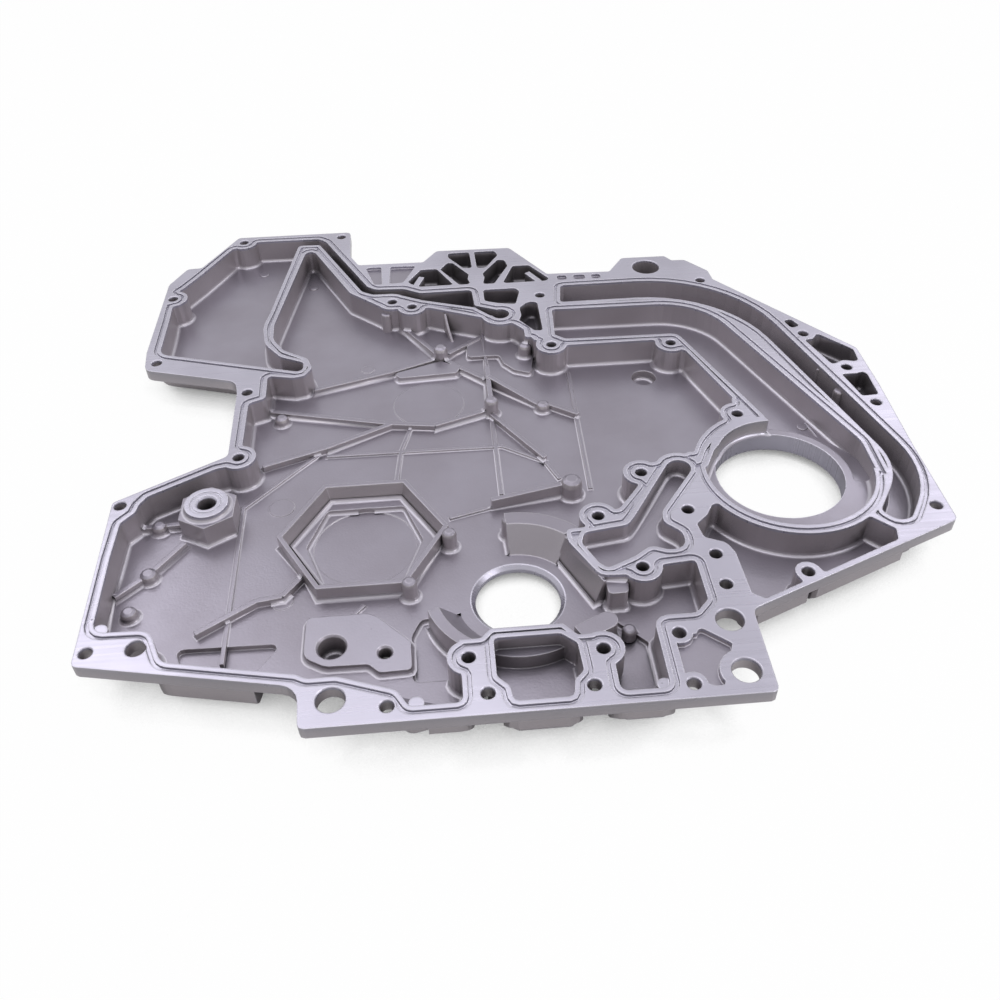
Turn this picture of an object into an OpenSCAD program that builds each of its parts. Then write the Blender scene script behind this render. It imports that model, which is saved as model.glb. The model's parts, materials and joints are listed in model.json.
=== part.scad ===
// Timing cover of an in-line diesel engine: one aluminium casting.
// The machined joint face looks up, the cast outer side looks down.
// Plan points are in mm on the joint face, [x, y, corner radius].
// The crank axis is the origin of the finished part, z = 0 is the plane the outer bosses rest on.

/* [Casting] */
// Width of the joint flange, from the sump corner to the pump side
cover_w = 640; // [628:1:652]
// Length of the joint flange, from the sump edge to the head end
cover_l = 637.5; // [626:0.5:650]
// Height from the outer bosses to the joint face
cover_h = 38; // [36:0.5:46]
// Thickness of the joint flange
flange_t = 10; // [7:0.5:14]
// Depth of the gear case below the joint face
floor_d = 24; // [20:0.5:26]
// Thickness of the cast floor
skin_t = 6; // [4:0.5:8]
// Thickness of the cast side walls
wall_t = 6; // [4:0.5:7]
// Radius of the sharpest chamber corners
ease_r = 2; // [1:0.25:2.5]
// Depth of the lightening pockets
light_d = 18; // [12:0.5:20]
// Depth of the oil gallery pocket
oil_d = 15.5; // [10:0.5:18]
// Depth of the pump chamber around the impeller bore
pump_d = 14; // [10:0.5:18]
// Depth of the shallow recesses in the flange
recess_d = 3; // [1:0.25:5]
// Depth of the web pocket between the sump bolts
web_d = 4.5; // [3:0.25:6]

/* [Seal groove] */
// Width of the lip between a chamber and the groove
lip_w = 3.2; // [2.5:0.1:3.6]
// Width of the seal groove
groove_w = 2.8; // [2:0.1:3.2]
// Depth of the seal groove
groove_d = 2.2; // [1:0.1:4]

/* [Bores and holes] */
// Diameter of the crank bore
crank_bore_d = 61; // [50:0.5:72]
// Diameter of the crank seal seat on the outer side
seal_seat_d = 82; // [74:0.5:88]
// Chamfer on the inner edge of the crank bore
crank_chamfer = 3; // [1:0.5:4]
// Diameter of the impeller bore
pump_bore_d = 100; // [80:1:108]
// Diameter of the round pump chamber
pump_case_d = 129; // [124:1:132]
// Diameter of the flange bolt holes
bolt_d = 9; // [7:0.1:10]
// Chamfer on the bolt holes
bolt_chamfer = 0.7; // [0.3:0.1:0.8]
// Diameter of the large through bolts at the sump corners
big_bolt_d = 18.8; // [16:0.2:20]
// Diameter of the corner locating hole
locate_d = 13.3; // [10:0.1:15]
// Diameter of the coolant transfer hole
transfer_d = 26.6; // [20:0.2:28]
// Diameter of the sensor recess in the gear case floor
sensor_d = 22; // [16:0.5:24]
// Depth of the sensor recess in the gear case floor
sensor_depth = 9; // [4:0.25:10]
// Diameter of the stud hole in the hexagon boss
stud_d = 13.6; // [10:0.2:16]
// Diameter of the bracket bore in the low pad
bracket_d = 19; // [14:0.5:21]
// Chamfer on the bracket bore and the stud hole
bore_chamfer = 1.5; // [0.5:0.25:2]

/* [Ribs and bosses] */
// Thickness of the floor ribs
rib_t = 4; // [2.5:0.25:6]
// Height of the main floor ribs
rib_h = 5.5; // [3:0.5:9]
// Height of the tapered fins at their tall end
fin_h = 13; // [10:0.5:15]
// Height of the faint flow ribs
flow_rib_h = 2; // [1:0.25:3]
// Height of the hexagon rib
hex_rib_h = 13; // [10:0.5:16]
// Corner radius, centre to corner, of the hexagon rib
hex_rib_r = 64; // [60:0.5:66]
// Slope of the inner side of the hexagon rib, foot against rim
hex_slope = 5; // [2:0.25:6]
// Depth of the sunk hexagon inside the rib
hex_sink = 4; // [1:0.25:4]
// Height of the rib posts
post_h = 17; // [14:0.5:19]
// Height of the short posts
stub_h = 8; // [5:0.5:11]
// Depth of the troughs below the gear case floor
trough_d = 4; // [2:0.25:5]
// Height of the low machined pad
pad_h = 5; // [3:0.5:8]
// Height of the raised step below the breather port
step_h = 4; // [2:0.25:6]
// Height of the round marks that the mould leaves on the floor
mark_h = 0.7; // [0.3:0.1:1]
// Outer radius of a bolt ear in a chamber
ear_r = 14; // [12.5:0.25:15]
// Radius of the outer bosses the cover rests on
boss_r = 9; // [7:0.5:11]

/* [Hidden] */
$fn = 48;
eps = 0.01;

// Levels above the rest plane
z_floor = cover_h - floor_d;
z_pan = z_floor - skin_t;
z_flange = cover_h - flange_t;
z_light = cover_h - light_d;
z_oil = cover_h - oil_d;
z_pump = cover_h - pump_d;
z_trough = z_floor - trough_d;

// The plan is drawn for this overall size and stretched to the one asked for
plan_w = 640;
plan_l = 637.5;
stretch = [cover_w / plan_w, cover_l / plan_l];

// Walls and lands left round what is cut out
port_wall = 10;
oil_wall = 8.5;
case_wall = 8.5;
light_wall = 4;
seal_wall = 7;
bore_wall = 4.5;
bolt_land = 1.5;
impeller_rim = 7;
small_ear_r = 9;
big_ear_r = 17;
trough_skin = 4;
edge_step = 1;

// How far some tops stay below the joint face
box_ring_drop = 12;
block_drop = 6;
shoulder_drop = 5;
flare_drop = 5;
crest_drop = 8;
foot_drop = 3;

// How deep a raised thing is rooted in what carries it
root = 2;

// Axes on the plan
crank = [-1, 3];
pump = [216, 103.5];
pump_case = [218.5, 96];
hex_rib = [-111, 69.5];
hex_boss = [-229, 101];
hex_boss_r = 23.5;
spigot_r = 16.5;
spigot_ring_r = 12.5;
spigot_ring_w = 1.6;

// Outer edge of the joint flange
flange_edge = [
  [-294, -48.5, 4], [-147, -78, 15], [-145, -110, 4], [150.5, -110, 4], [152, -43, 7], [322, 26.5, 6],
  [323, 110, 0], [326.5, 195, 0], [326.5, 250, 8], [228.5, 383, 3], [227.5, 400, 5], [209, 424.5, 5],
  [196, 425, 3], [190.5, 434.5, 3], [146, 435.5, 5], [129.5, 410, 3], [66.5, 412.5, 3], [33, 471, 5],
  [-43, 473, 5], [-57.5, 451, 3], [-124, 452.5, 4], [-133, 473, 12], [-134.5, 526, 5],
  [-254.5, 527.5, 5],
  [-285.5, 465.5, 4], [-299.5, 465, 5], [-313.5, 434, 8], [-313, 312, 20], [-309.5, 284, 10],
  [-226, 258.5, 12], [-222.5, 240, 0], [-219.5, 155, 6], [-300.5, 108, 4]
];

// Gear case, from the sump corner round to the left wall
gear_edge = [
  [-287, -21.5, 9], [-248.5, -22.5, 12], [-236.5, -50.5, 10], [-149, -68.5, 5], [-141.5, -72.5, 5],
  [-123, -72.5, 10], [-85, -86.5, 10], [-77.5, -99.5, 5], [-44, -99.5, 4], [-44, -50.5, 0],
  [-30, -50.5, 3],
  [-23.5, -43, 4], [24.5, -43, 4], [33, -53.5, 3], [53.5, -53.5, 0], [53.5, -100.5, 5], [85, -100.5, 5],
  [85, -42.5, 9], [114, -42.5, 6], [124.5, -31.5, 5], [124.5, 5.5, 3], [101, 3.5, 2], [98, -3, 0],
  [72, -3.5, 3], [56, -2.5, 8], [38, 33, 8], [38, 45, 4], [60, 46, 0], [70, 62, 0], [80, 62, 6],
  [100, 88, 0], [104, 102, 0], [113, 112, 0], [134, 116, 0], [146, 122, 3], [160, 120, 0],
  [190, 155, 0],
  [196.5, 167, 0], [196.5, 186, 3], [198.5, 189, 0], [175, 262, 0], [164, 274, 0], [150, 283, 0],
  [72, 283.5, 3], [56, 284, 0], [41, 296, 0], [39, 300.5, 2], [33.5, 301, 2], [33.5, 314, 3],
  [25.5, 324.5, 3], [14, 332, 0], [0, 337, 3], [-53, 362, 4], [-70, 364, 0], [-89, 370, 0],
  [-97, 366, 3],
  [-131, 399, 8], [-170, 485, 4], [-176, 488.5, 3], [-180.5, 484, 4], [-200.5, 348, 15],
  [-199, 322, 20],
  [-188, 303, 12], [-165, 287, 8], [-160, 272, 6], [-166, 261, 4], [-176, 258.5, 5], [-198.5, 264, 3],
  [-197, 231, 6], [-211, 225, 4], [-209.5, 166, 0], [-211, 153, 0], [-220, 142, 0], [-227, 140.5, 6],
  [-275, 113, 5], [-280, 104, 5], [-281, 96, 4], [-290, 85, 5], [-290, 50, 0]
];

// Breather chamber: wraps over the V wall and ends in the round port
breather_edge = [
  [-301, 309, 12], [-168, 266, 5], [-168, 281.5, 5], [-190, 293, 10], [-206, 315, 25],
  [-210.5, 345, 30],
  [-206, 370, 0], [-188.5, 502, 4], [-166.5, 501.5, 4], [-119, 399, 10], [-108, 392, 8],
  [-87, 391.5, 8],
  [-60, 376, 10], [-10, 357, 4], [4, 341, 0], [14, 337, 0], [14, 349, 0], [10, 351.5, 2],
  [-9.5, 361, 3],
  [-11, 390.5, 4], [-62, 390.5, 6], [-78, 400.5, 8], [-106, 402, 10], [-114, 409, 8], [-160, 508, 8],
  [-168, 515.5, 8], [-228, 516.5, 0], [-240, 516.5, 0], [-259, 503, 4], [-285, 450, 0],
  [-297.5, 427, 0],
  [-303, 420, 0], [-303, 392, 3], [-302, 370, 0]
];
port = [14, 343, 8.5];

// Outer coolant channel
outer_edge = [
  [73, 357.5, 3], [231, 357, 112], [303, 89, 60], [270.5, 41, 6], [279.5, 29, 9], [290.5, 32, 8],
  [323, 80, 88], [243, 388.3, 118], [77, 389, 4]
];

// Inner coolant channel, opening into the pump chamber
inner_edge = [
  [61, 301, 3], [70, 293.5, 3], [173, 290.8, 9], [220.5, 152, 0], [206, 130, 0],
  [216, 103.5, 0], [284, 88, 0], [285, 122, 25], [206, 342.5, 62], [63.5, 345.5, 3]
];

// Tongue of the pump chamber, left standing inside the round case
tongue_edge = [
  [146, 100, 0], [157, 104, 3], [167, 124, 20], [186, 142, 20], [220, 152, 0], [213.2, 172, 0],
  [150, 172, 0]
];

// Oil gallery pocket with its two round ends
oil_edge = [
  [62.5, 3.5, 4], [83, 13, 8], [96, 22.5, 8], [107, 17.5, 6], [121.5, 17, 9], [121.5, 34, 9],
  [109.5, 46, 8],
  [111.5, 57, 8], [141.5, 98, 0], [126, 109.5, 0], [91, 55, 8], [84, 45.5, 8], [51, 40.5, 5],
  [47.5, 30, 6],
  [57, 9, 5]
];
oil_end = [134, 104, 9.5];

// Suction box behind the crank bore
box_edge = [
  [-22, -51, 3], [-22, -82, 5], [-14.5, -90, 5], [-13, -101.5, 4], [24.5, -101.5, 4], [26.5, -89, 4],
  [33, -82.5, 4], [32, -60, 4], [22, -51, 5]
];

// Open pocket between the pump chamber and the sump edge
corner_edge = [
  [155, -29, 3], [163, -35, 3], [272, 11, 3], [274.5, 22, 2], [262, 35, 2], [230, 60, 0], [150, 61, 4],
  [143.5, 50, 4], [133.5, 41, 3], [135.5, 27, 4], [150, 20, 8], [154, 10, 6]
];

// Shallow web pocket between the sump bolts
web_edge = [
  [95.5, -60, 0], [110, -60, 0], [113, -54.5, 3], [131, -70, 2], [118, -102, 2], [112, -102, 3],
  [95.5, -92, 3]
];

// Lightening pockets: fan of six, two beside the port, three on the right edge
light_edges = [
  [[-61, 402, 2], [-28, 402, 2], [-44, 436, 3], [-60, 436, 3], [-73.5, 413, 2], [-70, 408, 2]],
  [[-32, 448, 4], [-40.5, 434, 3], [-22.5, 401.5, 2], [-11, 401.5, 3], [-13.5, 412, 3],
   [-12, 421, 2], [-27, 446, 3]],
  [[-31, 467, 3], [-31.5, 458, 4], [-16.5, 433.5, 3], [-8, 433.5, 3], [-9, 467, 3]],
  [[-4, 467, 2], [-3, 432.5, 3], [6, 432.5, 4], [20, 457, 3], [17.5, 467, 4]],
  [[19, 447.5, 3], [2, 421, 3], [3.5, 413, 4], [1, 400, 3], [12.5, 400, 3], [28.5, 434, 3],
   [26, 447, 4]],
  [[20.5, 399.5, 3], [66, 399.5, 4], [67, 405, 2], [50, 433, 4], [33.5, 433, 3]],
  [[0.5, 389.3, 3], [0.5, 368, 4], [13, 362.5, 6], [30, 358.5, 3], [35.5, 381, 4], [34, 389, 6]],
  [[51, 362, 5], [41.5, 361.5, 6], [33, 352, 4], [33.5, 338, 6], [30.5, 330, 3], [43, 310.5, 4],
   [51, 309.5, 3]],
  [[275, 301, 3], [279, 287.5, 3], [288, 291, 3], [283, 303, 3]],
  [[284.5, 268, 3], [297, 226.5, 3], [308, 232.5, 6], [321.5, 228.5, 4], [323, 248, 6],
   [299.5, 277, 3], [293, 268.5, 4]],
  [[300, 212, 2], [306.5, 179.5, 2], [321, 180, 3], [322, 215.5, 4], [314, 212, 3]]
];

// Shallow recesses in the flange face
recess_edges = [
  [[-116.5, 446.5, 3], [-107, 411, 3], [-99, 411, 2], [-100.5, 446, 2]],
  [[-91, 446, 2], [-92, 411.5, 2], [-78, 412, 3], [-65, 444.5, 2]],
  [[75.5, 399.5, 3], [85.5, 399.3, 3], [85, 408, 2], [76, 408.3, 2]],
  [[92, 399, 3], [104, 398.8, 3], [103.5, 407.5, 2], [92.5, 407.8, 2]],
  [[110, 398.6, 3], [119.5, 398.4, 3], [119, 406.8, 2], [110.5, 407, 2]]
];

// Fingers left standing in the two end pockets of the fan: [x1, y1, x2, y2]
fingers = [[-66.5, 402, -59.5, 421], [57.5, 399, 47, 418]];
finger_t = 5.5;

// Bolt holes through the flange
bolts = [
  [-287, -38], [-294, 104], [-211, 153], [-214, 241], [-301, 295], [-305, 407], [-248, 517],
  [-144, 517],
  [-89, 377], [-70, 366], [55, 373], [56, 286], [164, 277], [216, 383], [287, 278], [308, 222],
  [315, 170],
  [313, 43], [196.5, 167], [104, 102], [63.5, 57], [86.5, 3], [130.5, 57], [140, 10], [140, -19],
  [99, -58],
  [99.5, -99], [-39, -65], [48, -66], [-28.5, -94], [38, -94], [-91, -98], [199, -13]
];
// Ears and a bar left standing in the corner pocket and the web pocket
corner_ear = [199, -13];
corner_bar = [199, -13, 207, -33];
web_ears = [[99, -58], [99.5, -99]];
big_bolts = [[-126, -90], [134.5, -92], [134.5, -50.3]];
locate = [-255, -37];
transfer = [167.5, 415];
sensor = [137.5, 258];

// Bolt ears that stand into a chamber: [x, y]
ears = [
  [-211, 153], [-305, 407], [-248, 517], [-89, 377], [-70, 366], [56, 286], [164, 277], [196.5, 167],
  [104, 102], [63.5, 57], [86.5, 3], [-39, -65], [48, -66]
];

// Low machined pad beside the crank and its bores
pad_edge = [
  [-149, -5, 4], [-149, -40, 10], [-134, -49, 8], [-105.5, -49.5, 5], [-98, -57, 4], [-76.5, -56.5, 3],
  [-77, -33, 5], [-100.5, -8, 8], [-107, -5, 6]
];
bracket = [-130.5, -32.5];
bracket_skin = 2;
bracket_bolt = [-94.5, -40.5];

// Floor ribs: [x1, y1, x2, y2]
ribs = [
  [-160, 265, -89, 286], [-89, 286, -45, 304], [-78, 358, -45, 304], [-45, 304, -4, 336],
  [-45, 304, -28, 285],
  [-28, 285, -4, 263], [-4, 220, -54, 202], [-246, 79, -267, 48], [-267, 48, -288, 28],
  [-186, 14, -168, 17],
  [-168, 17, -154, 36], [-54, 202, -91, 208], [-91, 208, -145, 181], [-145, 181, -196, 162],
  [-202, 238, -91, 208], [46, 222, 70, 205], [-225, -12, -186, 14], [-284, 98, -250, 100],
  [-4, 212, 35, 150]
];
flow_share = 0.7;
// Tapered fins: [x1, y1, x2, y2, share of the height at each end]
fins = [[51, 109, -13, 98, 1, 0.75], [-4, 260, 41, 221, 0.92, 0.25], [-4, 222, -4, 276, 0.6, 0.92]];
// Faint ribs where the metal ran in
flow_ribs = [
  [-4, 112, -4, 214], [-145, 174, 2, 172], [2, 172, 35, 149], [35, 149, 44, 126], [-75, 204, -83, 176],
  [-83, 176, -88, 124], [-208, 115, -150, 179], [-207, 120, -204, -38], [-13, 98, -46, 89],
  [70, 272, 67, 112],
  [-4, 276, -4, 338], [-110, 6, -118, -4]
];
posts = [[51, 108, 8.5], [-77, 12, 5.5], [-47, 59, 5.5], [-4, 219, 6], [-45, 304, 6.5], [33, 300, 6]];
stubs = [[-267, 47, 6.5], [-274, 11, 6], [-186, 224, 6], [41, 220, 6], [-268, 98, 6], [71, -38, 5]];

// Raised platform in front of the rib star
platform_edge = [[-88, 282, 3], [-84, 274, 3], [-32, 277, 3], [-28, 285, 3], [-45, 297, 4]];
// Corner block against the oil gallery wall
block_edge = [[60, 2, 2], [60, -15, 3], [74, -15, 3], [76, 2, 2]];
// Raised step of the floor below the breather port
step_edge = [
  [-20, 303, 3], [9, 303, 4], [12, 290, 4], [21, 278, 4], [36, 271, 3], [40, 296, 0], [30, 325, 0],
  [0, 335, 0], [-20, 330, 3]
];
// Round marks of the mould: [x, y, radius]
marks = [[-177, 115, 10], [-113.5, 298, 6], [-58.5, 238, 31], [-168.5, 16, 8]];
hex_mark_r = 39;
// Small filler pads at lip corners: [x, y, radius]
fillers = [[-283, -18, 5.5], [-73, -96, 5], [82, -96.5, 5]];

// Sunk floor inside the hexagon rib
sunk_edge = [
  [-141, 108, 4], [-155, 69, 6], [-141, 30, 4], [-81, 30, 4], [-67, 69, 6], [-81, 108, 4]
];

// Sunk troughs beside the crank ring
trough_left = [[-76.5, -64, 4], [-40, -64, 4], [-40, -10, 4], [-70, -10, 6], [-76.5, -24, 6]];
trough_right = [[54, -82, 4], [84, -82, 4], [84, -46, 6], [60, -20, 6], [40, -20, 4]];
trough_drain = [[-238, -21, 4], [-228, -45, 4], [-186, -52, 4], [-165, -22.5, 4]];
crank_ring_r = 64;

// Baffle beside the crank bore: radii of its foot, rim and back, and the angles it spans
flare_r = [43, 57, 69];
flare_from = 44;
flare_span = 49.5;
knob = [-2, 66.3, 5.5];
// Sloped foot of the gallery wall, and how far it reaches out
foot_line = [58, -6, 37, 40];
foot_w = 7;
// Crests beside the suction box: radii and angles of the left one, the right one as a bar
crest_r = [43, 58.5, 66.5];
crest_from = 197;
crest_span = 36;
crest_bar = [36, -46, 56, -36];
crest_bar_t = 14;

// Low outer edges that are bevelled by the mould: [x1, y1, x2, y2, leg]
bevels = [
  [-80, -106, 142, -106, 8], [-260, -51.8, -171, -70, 3], [-160, -72.3, -128, -79, 18],
  [-128, -79, -82, -94.5, 18], [158, -43.5, 300, 16.4, 12], [-225, 252, -310, 279, 8]
];

// Outer bosses on the far side: [x, y]
bosses = [
  [290, 175], [160, 205], [258, 36], [-270, 20], [-285, 335], [-240, 480], [-60, 330], [100, 330]
];

// Points of a closed path whose corners are rounded by their own radius
function flat(c) = [c[0] * stretch[0], c[1] * stretch[1]];
function arc_steps(r, a) = max(1, ceil(a / (r > 40 ? 8 : r > 9 ? 20 : r > 4 ? 30 : 45)));
function corner(p, c, n, r) =
  let (
    u = (p - c) / norm(p - c),
    v = (n - c) / norm(n - c),
    half = acos(max(-1, min(1, u * v))) / 2
  )
  r == 0 || half > 89 ? [c] :
  let (
    o = c + (u + v) / norm(u + v) * (r / sin(half)),
    t1 = c + u * (r / tan(half)),
    t2 = c + v * (r / tan(half)),
    a1 = atan2(t1[1] - o[1], t1[0] - o[0]),
    a2 = atan2(t2[1] - o[1], t2[0] - o[0]),
    turn = a2 - a1 > 180 ? a2 - a1 - 360 : a2 - a1 < -180 ? a2 - a1 + 360 : a2 - a1,
    k = arc_steps(r, abs(turn))
  )
  [for (i = [0 : k]) o + r * [cos(a1 + turn * i / k), sin(a1 + turn * i / k)]];
function rounded(pts) =
  let (
    m = len(pts),
    q = [for (p = pts) flat(p)]
  )
  [for (i = [0 : m - 1]) each corner(q[(i + m - 1) % m], q[i], q[(i + 1) % m], pts[i][2])];

// Start, end and length of a line [x1, y1, x2, y2] on the plan
function from(s) = flat([s[0], s[1]]);
function to(s) = flat([s[2], s[3]]);
function span(s) = norm(to(s) - from(s));

module plan(pts) {
  polygon(rounded(pts));
}

// Puts something at a point of the plan, at a height
module at(c, z = 0) {
  translate([each flat(c), z])
    children();
}

// Lays the x axis along a line of the plan
module along(s) {
  d = to(s) - from(s);
  translate(from(s))
    rotate(atan2(d[1], d[0]))
      children();
}

// One outline out of several overlapping plans
module joined() {
  offset(delta = eps)
    children();
}

// The same with the sharp inner corners eased, as the mould leaves them
module eased() {
  offset(r = ease_r, $fn = 8)
    offset(delta = -ease_r)
      children();
}

// Straight bar on the plan, square ends
module bar(s, t) {
  along(s)
    translate([0, -t / 2])
      square([span(s), t]);
}

module disc(c, r) {
  at(c)
    circle(r = r, $fn = r > 40 ? 64 : r > 12 ? 24 : 14);
}

// Plans of the chambers
module ear_plan() {
  for (e = ears) {
    disc(e, ear_r);
  }
}

module gear_plan() {
  eased()
    difference() {
      plan(gear_edge);
      ear_plan();
      disc(port, port[2] + port_wall);
      disc(oil_end, oil_end[2] + oil_wall);
      disc(pump_case, pump_case_d / 2 + case_wall);
    }
}

module breather_plan() {
  eased()
    union() {
      difference() {
        plan(breather_edge);
        ear_plan();
      }
      disc(port, port[2]);
    }
}

module outer_plan() {
  joined()
    plan(outer_edge);
}

module pump_plan() {
  joined()
    difference() {
      disc(pump_case, pump_case_d / 2);
      plan(tongue_edge);
    }
}

module inner_plan() {
  joined()
    plan(inner_edge);
}

module oil_plan() {
  joined()
    union() {
      plan(oil_edge);
      disc(oil_end, oil_end[2]);
    }
}

module box_plan() {
  joined()
    plan(box_edge);
}

module corner_plan() {
  eased()
    difference() {
      plan(corner_edge);
      disc(pump_case, pump_case_d / 2 + case_wall);
      disc(corner_ear, small_ear_r);
      bar(corner_bar, 2 * small_ear_r);
    }
}

module web_plan() {
  joined()
    difference() {
      plan(web_edge);
      for (e = web_ears) {
        disc(e, small_ear_r);
      }
      for (b = big_bolts) {
        disc(b, big_ear_r);
      }
    }
}

module light_plan() {
  joined()
    difference() {
      for (e = light_edges) {
        plan(e);
      }
      for (f = fingers) {
        bar(f, finger_t);
      }
    }
}

// Chambers that the seal groove runs round
module sealed_plan() {
  gear_plan();
  breather_plan();
  inner_plan();
  pump_plan();
  oil_plan();
  box_plan();
}

module groove_plan() {
  difference() {
    union() {
      offset(delta = lip_w + groove_w)
        sealed_plan();
      difference() {
        offset(delta = lip_w + groove_w)
          outer_plan();
        offset(delta = 2 * lip_w + groove_w)
          sealed_plan();
      }
    }
    offset(delta = lip_w)
      sealed_plan();
    offset(delta = lip_w)
      outer_plan();
    for (b = bolts) {
      disc(b, bolt_d / 2 + bolt_land);
    }
    disc(pump, pump_bore_d / 2 + impeller_rim);
  }
}

// Plans of the floor under the chambers, kept inside the flange
module within_flange() {
  intersection() {
    children();
    offset(delta = -edge_step)
      plan(flange_edge);
  }
}

module pan_plan() {
  within_flange()
    offset(delta = wall_t)
      union() {
        sealed_plan();
        outer_plan();
        corner_plan();
      }
}

module light_pan_plan() {
  within_flange()
    offset(delta = light_wall)
      union() {
        light_plan();
        disc(transfer, transfer_d / 2);
      }
}

module trough_plan() {
  joined()
    difference() {
      union() {
        plan(trough_left);
        plan(trough_right);
      }
      disc(crank, crank_ring_r - root);
    }
  joined()
    plan(trough_drain);
}

module rib_plan(list, t) {
  intersection() {
    offset(delta = edge_step)
      gear_plan();
    union() {
      for (s = list) {
        bar(s, t);
      }
    }
  }
}

module prism(z0, z1) {
  translate([0, 0, z0])
    linear_extrude(height = z1 - z0)
      children();
}

// Square bar laid on its edge along a low outer edge
module bevel(e) {
  leg = e[4];
  side = leg * sqrt(2);
  translate([0, 0, z_pan])
    along(e)
      rotate([45, 0, 0])
        translate([-leg, -side / 2, -side / 2])
          cube([span(e) + 2 * leg, side, side]);
}

// Flange, walls and floor before the chambers are cut
module body() {
  boss_h = z_pan + root;
  prism(z_flange, cover_h)
    plan(flange_edge);
  difference() {
    prism(z_pan, z_flange + root)
      joined()
        pan_plan();
    for (e = bevels) {
      bevel(e);
    }
  }
  prism(z_light - skin_t, z_flange + root)
    joined()
      light_pan_plan();
  for (b = bosses) {
    at(b)
      cylinder(r = boss_r, h = boss_h);
  }
  at(bracket)
    cylinder(d = bracket_d + 2 * bore_wall, h = boss_h);
  at(crank)
    cylinder(d = seal_seat_d + 2 * seal_wall, h = boss_h);
  at(sensor, z_floor - sensor_depth - trough_skin)
    cylinder(d = sensor_d + 2 * bore_wall, h = sensor_depth);
  prism(z_trough - trough_skin, z_pan + root)
    offset(delta = trough_skin)
      union() {
        trough_plan();
        plan(sunk_edge);
      }
}

// Everything cut down from the joint face
module chambers() {
  top = cover_h + root;
  prism(z_floor, top)
    gear_plan();
  prism(z_floor, top)
    breather_plan();
  prism(z_floor, top)
    outer_plan();
  prism(z_floor, top)
    corner_plan();
  prism(z_pump, top)
    pump_plan();
  prism(z_floor + edge_step, top)
    difference() {
      inner_plan();
      disc(pump, pump_bore_d / 2 + impeller_rim);
    }
  prism(z_oil, top)
    oil_plan();
  difference() {
    prism(z_floor, top)
      box_plan();
    at(crank)
      cylinder(r = crank_ring_r - root, h = cover_h - box_ring_drop);
  }
  prism(z_light, top)
    light_plan();
  prism(cover_h - web_d, top)
    web_plan();
  prism(cover_h - recess_d, top)
    for (e = recess_edges) {
      plan(e);
    }
  prism(z_trough, z_floor + root)
    trough_plan();
  prism(z_floor - hex_sink, z_floor + root)
    plan(sunk_edge);
  prism(z_floor - hex_sink - mark_h, z_floor)
    disc(hex_rib, hex_mark_r);
  prism(cover_h - groove_d, top)
    joined()
      groove_plan();
}

// Post with a blunt round head
module post(r, h) {
  rotate_extrude()
    polygon([[0, 0], [r, 0], [r, h - 0.6 * r], [0.84 * r, h - 0.22 * r], [0.5 * r, h], [0, h]]);
}

// Upright fin that tapers from one end to the other
module fin(s) {
  l = span(s);
  translate([0, 0, z_floor])
    along(s)
      rotate([90, 0, 0])
        linear_extrude(height = rib_t, center = true)
          polygon([[0, -root], [l, -root], [l, s[5] * fin_h], [0, s[4] * fin_h]]);
}

// Hexagon rib, a thin ring that stands on the floor
module hex_ring() {
  h = hex_rib_h + root;
  at(hex_rib, z_floor - root)
    difference() {
      cylinder(r = hex_rib_r, h = h, $fn = 6);
      translate([0, 0, -eps])
        cylinder(r1 = hex_rib_r - rib_t - hex_slope, r2 = hex_rib_r - rib_t, h = h + 2 * eps, $fn = 6);
    }
}

// Hexagon boss with a round spigot and a turned ring round its hole
module stud_boss() {
  base = z_floor - root;
  at(hex_boss, base)
    rotate(30)
      cylinder(r = hex_boss_r, h = cover_h - shoulder_drop - base, $fn = 6);
  at(hex_boss, base)
    difference() {
      cylinder(r = spigot_r, h = cover_h - base);
      translate([0, 0, cover_h - base - spigot_ring_w / 2])
        difference() {
          cylinder(r = spigot_ring_r, h = spigot_ring_w);
          cylinder(r = spigot_ring_r - spigot_ring_w, h = spigot_ring_w);
        }
    }
}

// Sloped baffle between the crank gear and the oil gallery, with the knob at its end
module crank_flare() {
  base = z_floor - root;
  rim = cover_h - flare_drop;
  foot_h = cover_h - foot_drop - base;
  at(crank)
    rotate(flare_from)
      rotate_extrude(angle = flare_span)
        polygon([
          [flare_r[0], base], [flare_r[0], z_floor], [flare_r[1], rim], [flare_r[2], rim], [flare_r[2], base]
        ]);
  at(knob, base)
    post(knob[2], rim - base);
  translate([0, 0, base])
    along(foot_line)
      rotate([90, 0, 90])
        linear_extrude(height = span(foot_line))
          polygon([[-root, 0], [foot_w, 0], [foot_w, root], [0, foot_h], [-root, foot_h]]);
}

// Crests on both sides of the suction box, which fall off into the troughs
module crests() {
  base = z_trough - root;
  rim = cover_h - crest_drop;
  at(crank)
    rotate(crest_from)
      rotate_extrude(angle = crest_span)
        polygon([
          [crest_r[0], base], [crest_r[0], z_floor], [crest_r[1], rim], [crest_r[2], rim], [crest_r[2], base]
        ]);
  prism(base, rim)
    joined()
      union() {
        bar(crest_bar, crest_bar_t);
        disc([crest_bar[2], crest_bar[3]], crest_bar_t / 2);
      }
}

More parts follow.
